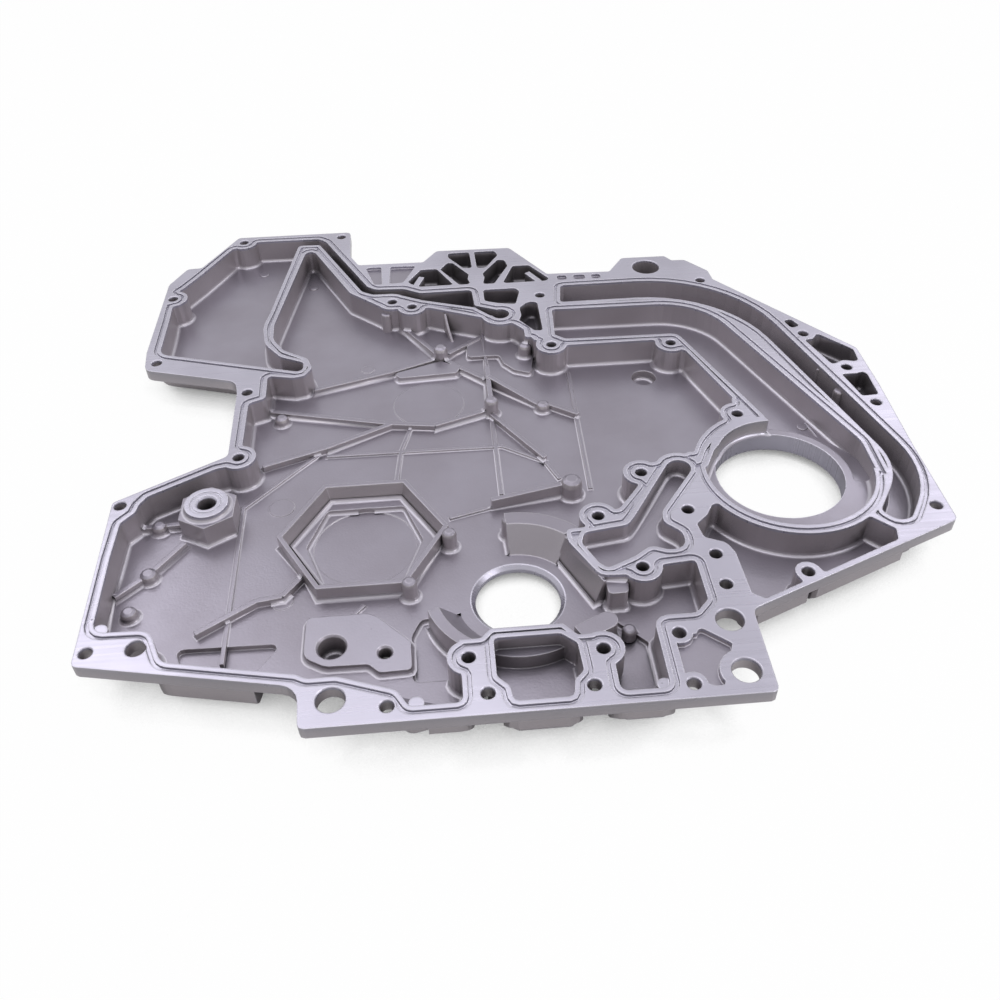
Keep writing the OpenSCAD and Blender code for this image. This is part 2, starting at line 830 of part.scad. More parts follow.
// Ribs, posts and pads that stand on the gear case floor
module floor_relief() {
  base = z_floor - root;
  prism(base, z_floor + rib_h)
    joined()
      rib_plan(ribs, rib_t);
  prism(base, z_floor + flow_rib_h)
    joined()
      rib_plan(flow_ribs, rib_t * flow_share);
  for (s = fins) {
    fin(s);
  }
  for (p = posts) {
    at(p, base)
      post(p[2], post_h + root);
  }
  for (p = stubs) {
    at(p, base)
      post(p[2], stub_h + root);
  }
  for (f = fillers) {
    at(f, z_flange)
      cylinder(r = f[2], h = flange_t - groove_d);
  }
  for (m = marks) {
    at(m, base)
      cylinder(r = m[2], h = mark_h + root);
  }
  prism(base, z_floor + rib_h)
    plan(platform_edge);
  prism(base, z_floor + step_h)
    plan(step_edge);
  prism(base, cover_h - block_drop)
    plan(block_edge);
  prism(base, z_floor + pad_h)
    plan(pad_edge);
  hex_ring();
  stud_boss();
  crank_flare();
  crests();
}

// Through hole with a chamfer at its upper rim
module hole(c, d, rim, chamfer) {
  at(c, -cover_h / 2)
    cylinder(d = d, h = 2 * cover_h);
  at(c, rim - chamfer)
    cylinder(d1 = d, d2 = d + 4 * chamfer, h = 2 * chamfer);
}

// Round bores and bolt holes
module bores() {
  deep = 2 * cover_h;
  pad_top = z_floor + pad_h;
  at(crank, -cover_h / 2)
    cylinder(d = crank_bore_d, h = deep, $fn = 96);
  at(crank, -root)
    cylinder(d = seal_seat_d, h = z_pan + root, $fn = 96);
  at(crank, z_floor - crank_chamfer)
    cylinder(d1 = crank_bore_d, d2 = crank_bore_d + 4 * crank_chamfer, h = 2 * crank_chamfer, $fn = 96);
  at(pump, -cover_h / 2)
    cylinder(d = pump_bore_d, h = deep, $fn = 96);
  at(pump, z_pump)
    cylinder(d = pump_bore_d + 2 * edge_step, h = deep, $fn = 96);
  for (b = bolts) {
    hole(b, bolt_d, cover_h, bolt_chamfer);
  }
  for (b = big_bolts) {
    hole(b, big_bolt_d, cover_h, bolt_chamfer);
  }
  hole(locate, locate_d, cover_h, bolt_chamfer);
  hole(transfer, transfer_d, cover_h, bolt_chamfer);
  hole(hex_boss, stud_d, cover_h, bore_chamfer);
  hole(bracket_bolt, bolt_d, pad_top, bore_chamfer);
  at(sensor, z_floor - sensor_depth)
    cylinder(d = sensor_d, h = deep);
  at(bracket, bracket_skin)
    cylinder(d = bracket_d, h = deep);
  at(bracket, pad_top - bore_chamfer)
    cylinder(d1 = bracket_d, d2 = bracket_d + 4 * bore_chamfer, h = 2 * bore_chamfer);
}

module timing_cover() {
  color([0.66, 0.66, 0.68])
    at(-crank)
      difference() {
        union() {
          difference() {
            body();
            chambers();
          }
          floor_relief();
        }
        bores();
      }
}

timing_cover();
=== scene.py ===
# %% [markdown]
# # A cast timing cover, dressed for a studio picture
#
# The cover is one aluminium casting that lies on its outer side, joint face up.
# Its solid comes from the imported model, which is loaded as a fixed frame: every
# wall, rib and hole is already in its place, in metres. What is left for Blender
# is the skin of the metal, the cast roundings at the foot of every wall, a few small
# cast forms, the light and the camera.

# %% Load the frame
import bmesh
import bpy
import json
import math
import numpy as np
from mathutils import Matrix, Vector


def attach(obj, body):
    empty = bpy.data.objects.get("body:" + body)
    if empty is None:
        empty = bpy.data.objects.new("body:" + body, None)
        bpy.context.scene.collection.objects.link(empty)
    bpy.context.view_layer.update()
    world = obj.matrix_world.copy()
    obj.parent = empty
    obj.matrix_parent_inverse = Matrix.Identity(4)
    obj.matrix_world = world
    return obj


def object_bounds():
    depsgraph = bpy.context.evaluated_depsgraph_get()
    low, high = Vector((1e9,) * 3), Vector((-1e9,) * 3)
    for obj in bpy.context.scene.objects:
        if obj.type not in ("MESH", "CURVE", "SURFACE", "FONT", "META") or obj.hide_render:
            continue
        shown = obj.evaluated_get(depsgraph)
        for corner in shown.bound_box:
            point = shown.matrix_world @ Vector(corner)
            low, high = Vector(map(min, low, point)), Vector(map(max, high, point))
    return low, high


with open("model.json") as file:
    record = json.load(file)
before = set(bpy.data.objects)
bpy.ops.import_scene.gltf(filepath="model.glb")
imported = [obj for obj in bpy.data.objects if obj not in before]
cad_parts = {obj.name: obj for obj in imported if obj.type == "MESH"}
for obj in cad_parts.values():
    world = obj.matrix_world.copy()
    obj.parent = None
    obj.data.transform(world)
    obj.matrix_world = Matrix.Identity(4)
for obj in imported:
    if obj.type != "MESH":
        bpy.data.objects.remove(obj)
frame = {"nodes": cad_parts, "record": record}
cad_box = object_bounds()
cover = frame["nodes"]["timing_cover"]
mounts = {mount["name"]: mount for mount in frame["record"]["mounts"]}
scene = bpy.context.scene
MM = 0.001
print("cover:", len(cover.data.polygons), "triangles, box in mm",
      [round(c / MM, 1) for corner in cad_box for c in corner])

# %% [markdown]
# ## The camera
#
# The picture was taken from in front of the sump edge, a little to the left, and
# looks down on the joint face at about 42 degrees. A camera could be aimed with a
# tracking constraint, but three plain turns are easier to read: the heading about
# the vertical, the tilt, and the small roll of a camera held by hand.

# %% Camera
EYE_AT = (-38.13, -458.23, 529.92)
HEADING, TILT, ROLL = -3.41, 47.52, -1.67
SENSOR_WIDTH, LENS, FARTHEST = 36, 34.857, 50

eye = bpy.data.cameras.new("camera")
eye.sensor_width = SENSOR_WIDTH
eye.lens = LENS
eye.clip_end = FARTHEST
camera = bpy.data.objects.new("camera", eye)
aim = Matrix.Identity(4)
for angle, axis in ((HEADING, "Z"), (TILT, "X"), (ROLL, "Z")):
    aim = aim @ Matrix.Rotation(math.radians(angle), 4, axis)
camera.matrix_world = Matrix.Translation(Vector(EYE_AT) * MM) @ aim
scene.collection.objects.link(camera)
scene.camera = camera
print("camera", round(camera.location.length, 3), "m from the crank axis")

# %% [markdown]
# ## Light
#
# Bright metal shows what stands around it, so the room matters as much as the
# lamps. Here it is a white studio: a surround that is white for every ray that
# looks at it directly or by reflection, and has a softer level for the light it
# sheds. Soft boxes add a direction: one high above the cover, which keeps the
# floors brighter than the walls, two behind it whose reflections lie on the left
# and the right of the joint face, and a low one on the right.

# %% Nodes in few words
def put(tree, kind, values=None, **settings):
    """Adds a node, sets its own settings, and its input sockets by name or number."""
    made = tree.nodes.new(kind)
    for name, value in settings.items():
        setattr(made, name, value)
    for socket, value in (values or {}).items():
        if isinstance(value, bpy.types.NodeSocket):
            tree.links.new(value, made.inputs[socket])
        else:
            made.inputs[socket].default_value = value
    return made


def math_of(tree, operation, *values):
    """One Math node on numbers or sockets, and its result."""
    return put(tree, "ShaderNodeMath", operation=operation, values=dict(enumerate(values))).outputs[0]


def looked_at(tree):
    """1 for a ray that comes from the camera or a reflection, or through something clear, else 0."""
    path = put(tree, "ShaderNodeLightPath")
    seen = math_of(tree, "MAXIMUM", path.outputs["Is Camera Ray"], path.outputs["Is Glossy Ray"])
    return math_of(tree, "MAXIMUM", seen, path.outputs["Is Transmission Ray"])


# %% White surround
SHED_COLOUR, SHED_LEVEL = (0.95, 0.94, 1.0, 1), 0.35
WHITE = (1, 1, 1, 1)

scene.view_settings.view_transform = "Standard"
world = bpy.data.worlds.new("white studio")
world.use_nodes = True
scene.world = world
tree = world.node_tree
tree.nodes.clear()
shed = put(tree, "ShaderNodeBackground", values={"Color": SHED_COLOUR, "Strength": SHED_LEVEL})
shown = put(tree, "ShaderNodeBackground", values={"Color": WHITE, "Strength": 1.0})
both = put(tree, "ShaderNodeMixShader", values={0: looked_at(tree), 1: shed.outputs[0], 2: shown.outputs[0]})
put(tree, "ShaderNodeOutputWorld", values={0: both.outputs[0]})
print("surround:", world.name, "sheds light at", SHED_LEVEL)

# %% Soft boxes
MIDDLE = (0.0, 0.2, 0.0)
LAMP_COLOUR = (0.97, 0.95, 1.0)


def soft_box(name, place, size, watts):
    """A square area lamp at a place in metres, turned to look at the middle of the cover."""
    light = bpy.data.lights.new(name, "AREA")
    light.size = size
    light.energy = watts
    light.color = LAMP_COLOUR
    lamp = bpy.data.objects.new(name, light)
    lamp.location = place
    lamp.rotation_euler = (Vector(MIDDLE) - Vector(place)).to_track_quat("-Z", "Y").to_euler()
    scene.collection.objects.link(lamp)


soft_box("soft box above", (-0.1, 0.3, 1.9), size=1.7, watts=10)
soft_box("soft box left behind", (-1.05, 1.1, 1.5), size=0.9, watts=4)
soft_box("soft box right behind", (1.5, 1.7, 1.5), size=0.9, watts=4)
soft_box("soft box on the right", (1.3, -0.6, 0.9), size=0.9, watts=5)

# %% [markdown]
# ## The floor
#
# The cover lies on wide white paper. Paper alone would come out grey, because the
# light is set for the metal. So the floor glows white for every ray that looks at it,
# and an Ambient Occlusion node takes the glow away near the cover, which leaves the
# soft shadow. Rays that metal reflects see a darker floor there: the sides of a thing
# on a table mirror its own shadow.

# %% Meshes, materials and mixed values
def sheet_of(name, points, faces):
    """A mesh object from an array of points and an array of corner numbers."""
    mesh = bpy.data.meshes.new(name)
    mesh.from_pydata(points.tolist(), [], faces.tolist())
    made = bpy.data.objects.new(name, mesh)
    scene.collection.objects.link(made)
    return made


def bare_material(name):
    """A material with nothing in its node tree, and that tree."""
    made = bpy.data.materials.new(name)
    made.use_nodes = True
    made.node_tree.nodes.clear()
    return made, made.node_tree


def spread(tree, value, low, high, to_low=0.0, to_high=1.0):
    """Maps low..high of a value to another range, and holds it there."""
    return put(tree, "ShaderNodeMapRange", values={
        "Value": value, "From Min": low, "From Max": high, "To Min": to_low, "To Max": to_high}).outputs[0]


def between(tree, share, first, second):
    """A number between two numbers."""
    return put(tree, "ShaderNodeMix", data_type="FLOAT", values={0: share, 2: first, 3: second}).outputs[0]


# %% Floor
FLOOR_REACH, FLOOR_GAP = 6.0, 0.2 * MM
PAPER, GLOW_SHARE = (0.93, 0.93, 0.94, 1), 0.98
SHADOW_REACH, SHADOW_LEAST = 45 * MM, 0.03

corners = np.array([[-1, -1, 0], [1, -1, 0], [1, 1, 0], [-1, 1, 0]]) * FLOOR_REACH
corners[:, 2] = cad_box[0].z - FLOOR_GAP
floor = sheet_of("floor", corners, np.array([[0, 1, 2, 3]]))
paper, tree = bare_material("white paper")
matt = put(tree, "ShaderNodeBsdfDiffuse", values={"Color": PAPER})
near = put(tree, "ShaderNodeAmbientOcclusion", samples=4, values={"Distance": SHADOW_REACH}).outputs["AO"]
shadow = spread(tree, near, 0.0, 0.5, SHADOW_LEAST, 1.0)
mirrored = math_of(tree, "POWER", near, 2.0)
direct = put(tree, "ShaderNodeLightPath").outputs["Is Camera Ray"]
glow = put(tree, "ShaderNodeEmission", values={
    "Color": WHITE, "Strength": between(tree, direct, mirrored, shadow)})
share = math_of(tree, "MULTIPLY", looked_at(tree), GLOW_SHARE)
both = put(tree, "ShaderNodeMixShader", values={0: share, 1: matt.outputs[0], 2: glow.outputs[0]})
put(tree, "ShaderNodeOutputMaterial", values={0: both.outputs[0]})
floor.data.materials.append(paper)
print("floor at", round(floor.data.vertices[0].co.z / MM, 2), "mm")

# %% [markdown]
# ## The cast skin
#
# A die-cast floor is never one grey. It has wide cloudy patches where the metal
# chilled at different times, and a fine orange-peel grain. Painted maps could show
# both, but would need the whole cover unwrapped. Two noise textures at two scales
# need only the place of a point. They are put in a node group, because the roundings
# use the same skin.

# %% Casting skin group
def group_of(name, outputs):
    """A shader group that is given a place: its tree, the place's socket and its output node."""
    tree = bpy.data.node_groups.new(name, "ShaderNodeTree")
    tree.interface.new_socket("Place", in_out="INPUT", socket_type="NodeSocketVector")
    for label in outputs:
        tree.interface.new_socket(label, in_out="OUTPUT", socket_type="NodeSocketFloat")
    return tree, tree.nodes.new("NodeGroupInput").outputs["Place"], tree.nodes.new("NodeGroupOutput")


casting, place, out = group_of("casting skin", ["Cloud", "Grain"])
for label, scale, detail in (("Cloud", 16, 4), ("Grain", 520, 3)):
    noise = put(casting, "ShaderNodeTexNoise", values={"Vector": place, "Scale": scale, "Detail": detail})
    casting.links.new(noise.outputs["Fac"], out.inputs[label])
print("group:", casting.name)

# %% [markdown]
# ## Milled faces
#
# The joint face, the low pad and the two large bores were cut on a milling machine,
# so they are brighter and smoother than the skin around them. They could be picked
# out by hand and given a second material. Here a mask follows from where a point is:
# at the height of the joint face and its groove, on the pad, or on a bore's wall. A
# face mill also leaves shallow lines two or three millimetres apart, which are noise
# stretched along the feed. Rare small nicks come from handling.

# %% Milled places group
JOINT_FACE, LIP = mounts["joint_face"]["pos_m"][2], 2.5 * MM
PAD_AT, PAD_REACH, PAD_TOP, PAD_SHARE = (-0.112, -0.036, 0), 52 * MM, 19 * MM, 0.3
PUMP_X, PUMP_Y, _ = mounts["pump_bore"]["pos_m"]
PUMP_RADIUS = mounts["pump_bore"]["dims"]["r_mm"] * MM
CRANK_AT, CRANK_RADIUS, CRANK_CHAMFER = (0, 0, 0), 30.5 * MM, 3 * MM

milled, place, out = group_of("milled places", ["Milled"])
parts = put(milled, "ShaderNodeSeparateXYZ", values={0: place})
flat = put(milled, "ShaderNodeCombineXYZ", values={"X": parts.outputs["X"], "Y": parts.outputs["Y"]})
height = parts.outputs["Z"]


def away(centre):
    """Distance in plan from a vertical axis."""
    return put(milled, "ShaderNodeVectorMath", operation="DISTANCE",
               values={0: flat.outputs[0], 1: centre}).outputs["Value"]


on_level = math_of(milled, "COMPARE", height, PAD_TOP, 0.3 * MM)
on_pad = math_of(milled, "MULTIPLY", on_level, math_of(milled, "LESS_THAN", away(PAD_AT), PAD_REACH))
on_pad = math_of(milled, "MULTIPLY", on_pad, PAD_SHARE)
in_pump = math_of(milled, "COMPARE", away((PUMP_X, PUMP_Y, 0)), PUMP_RADIUS, 0.6 * MM)
in_crank = math_of(milled, "COMPARE", away(CRANK_AT), CRANK_RADIUS + CRANK_CHAMFER / 2, 2.2 * MM)
mask = math_of(milled, "GREATER_THAN", height, JOINT_FACE - LIP)
for other in (on_pad, in_pump, in_crank):
    mask = math_of(milled, "MAXIMUM", mask, other)
milled.links.new(mask, out.inputs["Milled"])
print("group:", milled.name)

# %% Milling marks group
FEED_TURN, FEED_STRETCH = math.radians(-17), (5, 380, 5)
NICK_SIZE, NICK_FROM = 0.05, 0.7

marks, place, out = group_of("milling marks", ["Feed", "Sheen", "Nicks"])
drawn = put(marks, "ShaderNodeMapping", values={
    "Vector": place, "Rotation": (0, 0, FEED_TURN), "Scale": FEED_STRETCH})
feed = put(marks, "ShaderNodeTexNoise", values={"Vector": drawn.outputs[0], "Scale": 1, "Detail": 2})
sheen = put(marks, "ShaderNodeTexNoise", values={"Vector": place, "Scale": 11, "Detail": 3})
pits = put(marks, "ShaderNodeTexVoronoi", values={"Vector": place, "Scale": 60})
small = math_of(marks, "LESS_THAN", pits.outputs["Distance"], NICK_SIZE)
chosen = put(marks, "ShaderNodeSeparateColor", values={0: pits.outputs["Color"]})
rare = math_of(marks, "GREATER_THAN", chosen.outputs[0], NICK_FROM)
marks.links.new(feed.outputs["Fac"], out.inputs["Feed"])
marks.links.new(sheen.outputs["Fac"], out.inputs["Sheen"])
marks.links.new(math_of(marks, "MULTIPLY", small, rare), out.inputs["Nicks"])
print("group:", marks.name)

# %% [markdown]
# ## Places of painted shade
#
# The lightening pockets along the edge and the back of the suction box get a painted
# shade, darker than their depth gives. A texture map could mark them. Four ellipsoids
# need no unwrapping: a point is inside where the offset from the centre, divided by the
# half axes, is shorter than one.

# %% Painted shade places group
# Centres and half axes, in metres, of the places of painted shade.
SHADE_SPOTS = [((0.006, -0.055, 0.024), (0.045, 0.016, 0.013)),
            ((0.000, 0.422, 0.024), (0.100, 0.062, 0.016)),
            ((0.042, 0.336, 0.024), (0.018, 0.030, 0.016)),
            ((0.325, 0.228, 0.024), (0.034, 0.085, 0.016))]
FULL_WITHIN = 0.85

painted_shade, place, out = group_of("sheltered places", ["Shelter"])
mask = 0.0
for centre, half_axes in SHADE_SPOTS:
    offset = put(painted_shade, "ShaderNodeVectorMath", operation="SUBTRACT", values={0: place, 1: centre})
    scaled = put(painted_shade, "ShaderNodeVectorMath", operation="DIVIDE",
                 values={0: offset.outputs[0], 1: half_axes})
    length = put(painted_shade, "ShaderNodeVectorMath", operation="LENGTH", values={0: scaled.outputs[0]})
    inside = spread(painted_shade, length.outputs["Value"], 1.0, FULL_WITHIN)
    mask = math_of(painted_shade, "MAXIMUM", mask, inside)
painted_shade.links.new(mask, out.inputs["Shelter"])
print("group:", painted_shade.name, "with", len(SHADE_SPOTS), "places")

# %% [markdown]
# ## The metal
#
# Both finishes are one aluminium. They could be two materials, but in one Principled
# shader the colour, roughness and metal share change from cast skin to milled face
# without a seam. The cast skin is dulled by its oxide, so part of it scatters like
# paint: its metal share is lower. Steep walls are given a lighter, warmer colour than
# the level floors, which is painted light. A Bevel node rounds the shading of every edge
# by about a millimetre, and where the rounded normal leaves the flat one the colour is
# lifted: a painted highlight, and on outer edges also wear from handling. An Ambient
# Occlusion node finds narrow holes, which get a painted shade near black, and the outer
# sides, which see most of the room and get a painted darker shade than the walls inside.

# %% Cover colours
FLOOR_SKIN, FLOOR_DULL = (0.325, 0.305, 0.36, 1), (0.285, 0.265, 0.31, 1)
# Painted light: steep walls get a lighter, warmer copy of the floor's skin colour.
WALL_PAINTED_LIGHT, WALL_PAINTED_LIGHT_DULL = (0.51, 0.47, 0.485, 1), (0.45, 0.41, 0.425, 1)
MILLED, MILLED_DULL = (0.47, 0.455, 0.535, 1), (0.40, 0.385, 0.455, 1)
# Painted shade for the outer sides.
OUTER_SIDE_SHADE = (0.30, 0.285, 0.31, 1)
# Painted highlight on edges and wall feet, partly wear; and a near black for painted shade in holes, also
# the colour of real nicks.
EDGE_WEAR_AND_HIGHLIGHT, SHADE_AND_NICK_DARK = (0.88, 0.86, 0.92, 1), (0.018, 0.016, 0.018, 1)
NICK_SHARE = 0.6


def blend(tree, share, first, second):
    """A colour between two colours."""
    return put(tree, "ShaderNodeMix", data_type="RGBA", values={0: share, 6: first, 7: second}).outputs[2]


def skin_colour(tree, skin, tool, cut, steep):
    """Cloudy cast skin, with painted light that makes walls lighter and warmer than floors, and clean metal
    with fine nicks where a face is milled.
    """
    cloud = spread(tree, skin.outputs["Cloud"], 0.35, 0.65)
    level = blend(tree, cloud, FLOOR_SKIN, FLOOR_DULL)
    wall_painted_light = blend(tree, cloud, WALL_PAINTED_LIGHT, WALL_PAINTED_LIGHT_DULL)
    clean = blend(tree, spread(tree, tool.outputs["Sheen"], 0.38, 0.64), MILLED, MILLED_DULL)
    nicked = math_of(tree, "MULTIPLY", tool.outputs["Nicks"], NICK_SHARE)
    clean = blend(tree, nicked, clean, SHADE_AND_NICK_DARK)
    return blend(tree, cut, blend(tree, steep, level, wall_painted_light), clean)


# %% What the metal reads from the surface
def wall_share(tree, facing):
    """0 on level faces and 1 on walls, by how much of the flat normal points up or down."""
    lift = put(tree, "ShaderNodeSeparateXYZ", values={0: facing}).outputs["Z"]
    return spread(tree, math_of(tree, "ABSOLUTE", lift), 0.8, 0.3)


def hole_shade_share(tree, where, sky):
    """Painted shade: nearly 1 in narrow holes, which see little of the room, and less in the places of
    painted shade.
    """
    spot_shade = put(tree, "ShaderNodeGroup", node_tree=painted_shade, values={"Place": where}).outputs["Shelter"]
    spot_shade = math_of(tree, "MULTIPLY", spot_shade, spread(tree, sky, 0.75, 0.4, 0.0, 0.7))
    return math_of(tree, "MAXIMUM", spread(tree, sky, 0.27, 0.13, 0.0, 0.97), spot_shade)


# %% Cover material
PEEL, FEED_DEPTH, BUMP_STRENGTH = 0.14 * MM, 0.02 * MM, 0.8
CAST_METAL, MILLED_METAL, WALL_METAL = 0.7, 0.92, 0.45
SKY_REACH = 40 * MM


def cover_metal(name, round_by, wear_and_highlight_share, least_highlight=0.0):
    """The cover's aluminium: cast skin, milled faces, a painted highlight on edges, partly wear, painted
    shade in holes, edges rounded by round_by metres in the shading. The last argument is the painted
    highlight's share away from edges."""
    made, tree = bare_material(name)
    where = put(tree, "ShaderNodeTexCoord").outputs["Object"]
    skin = put(tree, "ShaderNodeGroup", node_tree=casting, values={"Place": where})
    cut = put(tree, "ShaderNodeGroup", node_tree=milled, values={"Place": where}).outputs["Milled"]
    tool = put(tree, "ShaderNodeGroup", node_tree=marks, values={"Place": where})
    facing = put(tree, "ShaderNodeNewGeometry").outputs["True Normal"]
    rounded = put(tree, "ShaderNodeBevel", samples=4, values={"Radius": round_by}).outputs[0]
    same = put(tree, "ShaderNodeVectorMath", operation="DOT_PRODUCT", values={0: facing, 1: rounded})
    # Painted highlight, partly wear: rises where the rounded normal leaves the flat one.
    edge = spread(tree, same.outputs["Value"], 0.97, 0.75, least_highlight, wear_and_highlight_share)
    steep = wall_share(tree, facing)
    sky = put(tree, "ShaderNodeAmbientOcclusion", samples=6, values={"Distance": SKY_REACH}).outputs["AO"]

    # Painted shade on the outer sides: steep faces that see most of the room get a darker colour.
    outer = math_of(tree, "MULTIPLY", steep, spread(tree, sky, 0.84, 0.92))
    colour = blend(tree, outer, skin_colour(tree, skin, tool, cut, steep), OUTER_SIDE_SHADE)
    colour = blend(tree, edge, colour, EDGE_WEAR_AND_HIGHLIGHT)
    # Painted shade: near black in narrow holes and in the places of painted shade.
    colour = blend(tree, hole_shade_share(tree, where, sky), colour, SHADE_AND_NICK_DARK)

    dull = spread(tree, skin.outputs["Cloud"], 0.3, 0.7, 0.30, 0.38)
    smooth = spread(tree, tool.outputs["Feed"], 0.3, 0.7, 0.25, 0.34)
    peel = math_of(tree, "MULTIPLY", skin.outputs["Grain"], PEEL)
    turned = math_of(tree, "MULTIPLY", tool.outputs["Feed"], between(tree, steep, FEED_DEPTH, 0.0))
    bump = put(tree, "ShaderNodeBump", values={
        "Strength": BUMP_STRENGTH, "Distance": 1.0, "Height": between(tree, cut, peel, turned),
        "Normal": rounded})
    metallic = between(tree, steep, between(tree, cut, CAST_METAL, MILLED_METAL), WALL_METAL)
    shader = put(tree, "ShaderNodeBsdfPrincipled", values={
        "Base Color": colour, "Roughness": between(tree, cut, dull, smooth),
        "Metallic": metallic, "Normal": bump.outputs[0]})
    put(tree, "ShaderNodeOutputMaterial", values={0: shader.outputs[0]})
    return made


metal = cover_metal("cast aluminium", 1.4 * MM, wear_and_highlight_share=0.75)
cover.material_slots[0].link = "OBJECT"
cover.material_slots[0].material = metal
print("material:", metal.name, "with", len(metal.node_tree.nodes), "nodes")

# %% [markdown]
# ## Cast roundings at the feet of the walls
#
# In a casting no wall meets its floor in a sharp corner: the die is rounded there,
# and on the real cover these roundings are the bright lines around every chamber,
# rib and post. They could be modelled in the solid, but hundreds of meeting
# roundings are slow to cut. Here the frame's own mesh says where they go. Each edge
# between a level floor and a steep wall that closes over it gets a quarter circle,
# carried along the chain of edges, with mitred corners. The back of the suction box,
# the drain trough and the round mark in the hexagon are crisp, so they have none.

# %% Read the cover's triangles
MEET_WITHIN = 0.01 * MM


def triangles_of(mesh):
    """Points of a mesh, merged where they meet to a hundredth of a millimetre, and its triangles."""
    points = np.empty(len(mesh.vertices) * 3, np.float32)
    mesh.vertices.foreach_get("co", points)
    points = points.reshape(-1, 3)
    mesh.calc_loop_triangles()
    threes = np.empty(len(mesh.loop_triangles) * 3, np.int32)
    mesh.loop_triangles.foreach_get("vertices", threes)
    keys = np.round(points / MEET_WITHIN).astype(np.int64)
    _, first, number = np.unique(keys, axis=0, return_index=True, return_inverse=True)
    threes = number.ravel()[threes].reshape(-1, 3)
    whole = (threes != np.roll(threes, -1, axis=1)).all(axis=1)
    return points[first].astype(float), threes[whole]


points, threes = triangles_of(cover.data)
print("cover:", len(points), "points in", len(threes), "triangles")

# %% Find the feet of the walls
LEVEL_FROM, STEEP_TO, LEAST_RISE = 0.98, 0.35, 0.4 * MM
ROUND_MARK_LEVEL = 9.3 * MM
SUCTION_BACK = ((5, -62, 22), (38, 20, 14))
DRAIN_TROUGH = ((-200, -40, 10), (42, 22, 1.5))


def wall_feet(points, threes):
    """Edges, as start and end point numbers with the floor on their left, where a level floor meets a
    steep wall that rises from it, and the height of that wall."""
    a, b, c = (points[threes[:, k]] for k in range(3))
    normal = np.cross(b - a, c - a)
    normal /= np.maximum(np.linalg.norm(normal, axis=1), 1e-15)[:, None]
    start = threes.ravel()
    end = np.roll(threes, -1, axis=1).ravel()
    third = np.roll(threes, -2, axis=1).ravel()
    face = np.repeat(np.arange(len(threes)), 3)
    key = start * len(points) + end
    order = np.argsort(key)
    back = np.searchsorted(key[order], end * len(points) + start)
    back = order[np.minimum(back, len(order) - 1)]
    paired = key[back] == end * len(points) + start
    rise = ((points[third[back]] - points[start]) * normal[face]).sum(axis=1)
    level = (normal[face][:, 2] > LEVEL_FROM) & (np.abs(normal[face[back]][:, 2]) < STEEP_TO)
    feet = paired & level & (rise > LEAST_RISE)
    return start[feet], end[feet], rise[feet]


foot_start, foot_end, foot_rise = wall_feet(points, threes)
kept = np.abs(points[foot_start][:, 2] - ROUND_MARK_LEVEL) > 0.2 * MM
for centre, half in (SUCTION_BACK, DRAIN_TROUGH):
    kept &= (np.abs(points[foot_start] / MM - centre) > half).any(axis=1)
foot_start, foot_end, foot_rise = foot_start[kept], foot_end[kept], foot_rise[kept]
print("edges at wall feet:", len(foot_start), "total length",
      round(np.linalg.norm(points[foot_end] - points[foot_start], axis=1).sum(), 2), "m")

# %% Sweep the roundings
ROUND_MOST, ROUND_GROOVE, ROUND_OF_RISE = 3.2 * MM, 0.7 * MM, 0.6
GROOVE_BELOW, SUNK_BEHIND, STEPS = 5 * MM, 0.25 * MM, 4
MITRE_LEAST = 0.7
UP = np.array([0, 0, 1])


def roundings(points, start, end, rise):
    """A quarter circle carried along edges. At each foot point p, with m the mitred way out of the wall
    and r the radius, the surface is p + r m (1 - sin t) + r z (1 - cos t) for t from 0 to 90 degrees,
    and a last row sunk behind the corner closes the section."""
    used, number = np.unique(np.concatenate([start, end]), return_inverse=True)
    first, second = np.split(number, 2)
    foot = points[used]
    run = points[end] - points[start]
    run[:, 2] = 0
    run /= np.maximum(np.linalg.norm(run, axis=1), 1e-12)[:, None]
    way = np.stack([-run[:, 1], run[:, 0], np.zeros(len(run))], axis=1)
    total, count = np.zeros((len(used), 3)), np.zeros(len(used))
    radius = np.full(len(used), ROUND_MOST)
    for ends in (first, second):
        np.add.at(total, ends, way)
        np.add.at(count, ends, 1)
        np.minimum.at(radius, ends, ROUND_OF_RISE * rise)
    in_groove = foot[:, 2] > JOINT_FACE - GROOVE_BELOW
    radius = np.where(in_groove, np.minimum(radius, ROUND_GROOVE), radius)
    total *= (2 / count)[:, None]
    mitre = total / np.maximum((total ** 2).sum(1) / 2, MITRE_LEAST)[:, None]
    outward = mitre / np.maximum(np.linalg.norm(mitre, axis=1), 1e-9)[:, None]
    turn = np.linspace(0, np.pi / 2, STEPS + 1)[None, :, None]
    bend = mitre[:, None] * (1 - np.sin(turn)) + UP * (1 - np.cos(turn))
    arc = foot[:, None] + radius[:, None, None] * bend
    lean = UP * np.cos(turn) + outward[:, None] * np.sin(turn)
    sunk = foot[:, None] - SUNK_BEHIND * (mitre[:, None] + UP)
    surface = np.concatenate([arc, sunk], axis=1).reshape(-1, 3)
    normals = np.concatenate([lean, -lean[:, :1]], axis=1).reshape(-1, 3)
    rows = STEPS + 2
    k = np.arange(rows)
    follow = (k + 1) % rows
    quads = np.stack([first[:, None] * rows + k, first[:, None] * rows + follow,
                      second[:, None] * rows + follow, second[:, None] * rows + k], axis=2)
    return surface, normals, quads.reshape(-1, 4)


surface, normals, quads = roundings(points, foot_start, foot_end, foot_rise)
feet = sheet_of("wall_feet", surface, quads)
feet.data.polygons.foreach_set("use_smooth", np.ones(len(quads), bool))
feet.data.normals_split_custom_set_from_vertices(normals.tolist())
